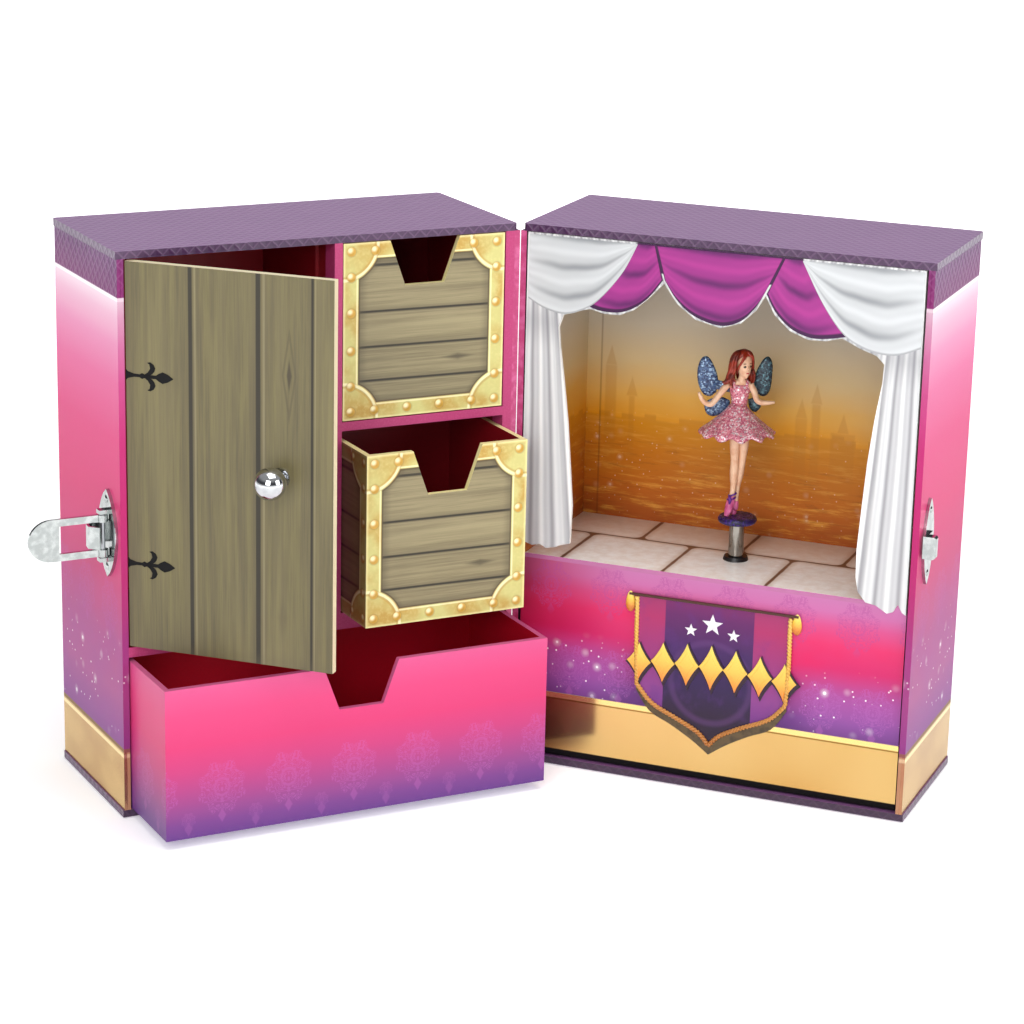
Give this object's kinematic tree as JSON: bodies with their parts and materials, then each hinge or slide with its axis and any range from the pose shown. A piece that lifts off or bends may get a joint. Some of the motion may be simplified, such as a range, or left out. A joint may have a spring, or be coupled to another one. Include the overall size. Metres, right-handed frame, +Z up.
{
  "type": "ballerina jewellery box",
  "caption": "Hinged two-part jewellery box: a cabinet with a door and drawers, and a curtained stage with a clockwork-turned dancer under a hasp clasp.",
  "frame": {"origin": "bottom centre of the whole object's bounding box in the rest pose", "axes": "+X along the cabinet half's front towards the spine hinge, -Y out of the cabinet's open front, +Z up"},
  "size_m": [0.3262, 0.1802, 0.2],
  "materials": {
    "violet_board": "satin",
    "pink_board": "satin",
    "red_board": "satin",
    "pink_paper": "matte",
    "red_card": "matte",
    "plank_board": "satin",
    "drawer_card": "matte",
    "cloth_tape": "matte",
    "bright_chrome": "polished",
    "curtain_card": "matte",
    "skyline_card": "matte",
    "tile_board": "satin",
    "banner_card": "matte",
    "black_plastic": "matte",
    "brass": "satin",
    "steel": "satin",
    "zinc": "satin",
    "violet_plastic": "gloss",
    "skin_plastic": "satin",
    "dress_plastic": "satin",
    "hair_plastic": "satin",
    "wing_plastic": "gloss"
  },
  "bodies": {
    "cabinet": {"cabinet_top_panel": "violet_board", "cabinet_bottom_panel": "violet_board", "cabinet_clasp_wall": "pink_board", "cabinet_hinge_wall": "pink_board", "cabinet_back_panel": "pink_board", "cabinet_spine_strip": "pink_paper", "cabinet_lower_shelf": "red_board", "cabinet_divider": "red_board", "column_floor": "red_board", "column_side": "red_board", "cabinet_mid_shelf": "red_board", "door_space_liner": "red_card", "door_hinge_tape_fixed": "cloth_tape", "hasp_plate": "bright_chrome", "hasp_pin": "bright_chrome", "hasp_tongue": "bright_chrome"},
    "stage": {"stage_top_panel": "violet_board", "stage_bottom_panel": "violet_board", "stage_clasp_wall": "pink_board", "stage_hinge_wall": "pink_board", "stage_back_panel": "pink_board", "stage_spine_strip": "pink_paper", "stage_floor": "tile_board", "stage_base_front": "pink_board", "stage_front_card": "curtain_card", "stage_banner": "banner_card", "stage_backdrop": "skyline_card", "spindle_bushing": "black_plastic", "keeper_plate": "bright_chrome", "movement_frame": "zinc", "movement_screws": "steel", "music_comb": "steel", "key_bushing": "brass"},
    "door": {"door_panel": "plank_board", "door_hinge_tape_moving": "cloth_tape", "door_knob": "bright_chrome", "door_knob_screw": "steel"},
    "upper_drawer": {"upper_drawer_front": "plank_board", "upper_drawer_tray": "drawer_card", "upper_drawer_bottom": "drawer_card"},
    "lower_drawer": {"lower_drawer_front": "plank_board", "lower_drawer_tray": "drawer_card", "lower_drawer_bottom": "drawer_card"},
    "wide_drawer": {"wide_drawer_front": "pink_board", "wide_drawer_tray": "drawer_card", "wide_drawer_bottom": "drawer_card"},
    "hasp": {"hasp_loop": "bright_chrome"},
    "spindle": {"spindle_drive": "steel", "music_cylinder": "brass", "post_tube": "bright_chrome", "turntable_disc": "violet_plastic", "figurine_legs": "skin_plastic", "figurine_skirt": "dress_plastic", "figurine_torso": "dress_plastic", "figurine_head": "hair_plastic", "figurine_wings": "wing_plastic"},
    "key": {"winding_key": "brass", "spring_barrel": "brass", "crown_wheel": "brass"},
    "governor": {"governor_fan": "black_plastic"}
  },
  "joints": [
    {"name": "box_hinge", "type": "hinge", "parent": "cabinet", "child": "stage", "pos_m": [0.01611, 0.02513, 0.1], "axis": [0, 0, 1], "range_deg": [-48, 48]},
    {"name": "door_hinge", "type": "hinge", "parent": "cabinet", "child": "door", "pos_m": [-0.13069, 0.02533, 0.13], "axis": [0, 0, -1], "range_deg": [-46, 94]},
    {"name": "upper_drawer_slide", "type": "slide", "parent": "cabinet", "child": "upper_drawer", "axis": [0, -1, 0], "range_m": [0, 0.052]},
    {"name": "lower_drawer_slide", "type": "slide", "parent": "cabinet", "child": "lower_drawer", "axis": [0, -1, 0], "range_m": [-0.021, 0.031]},
    {"name": "wide_drawer_slide", "type": "slide", "parent": "cabinet", "child": "wide_drawer", "axis": [0, -1, 0], "range_m": [-0.034, 0.018]},
    {"name": "hasp_swing", "type": "hinge", "parent": "cabinet", "child": "hasp", "pos_m": [-0.13669, 0.03413, 0.1005], "axis": [0, 0, -1], "range_deg": [-90, 88]},
    {"name": "spindle_spin", "type": "hinge", "parent": "stage", "child": "spindle", "pos_m": [0.08678, -0.01349, 0.08], "axis": [0, 0, 1], "continuous": true},
    {"name": "key_turn", "type": "hinge", "parent": "stage", "child": "key", "pos_m": [0.1147, 0.01079, 0.034], "axis": [0.7547, 0.6561, 0], "continuous": true},
    {"name": "governor_spin", "type": "hinge", "parent": "stage", "child": "governor", "pos_m": [0.0999, -0.02858, 0.06], "axis": [0, 0, 1], "continuous": true}
  ],
  "couplings": [
    {"joint": "key_turn", "follows": "spindle_spin", "ratio": -0.33333},
    {"joint": "governor_spin", "follows": "spindle_spin", "ratio": -4}
  ]
}
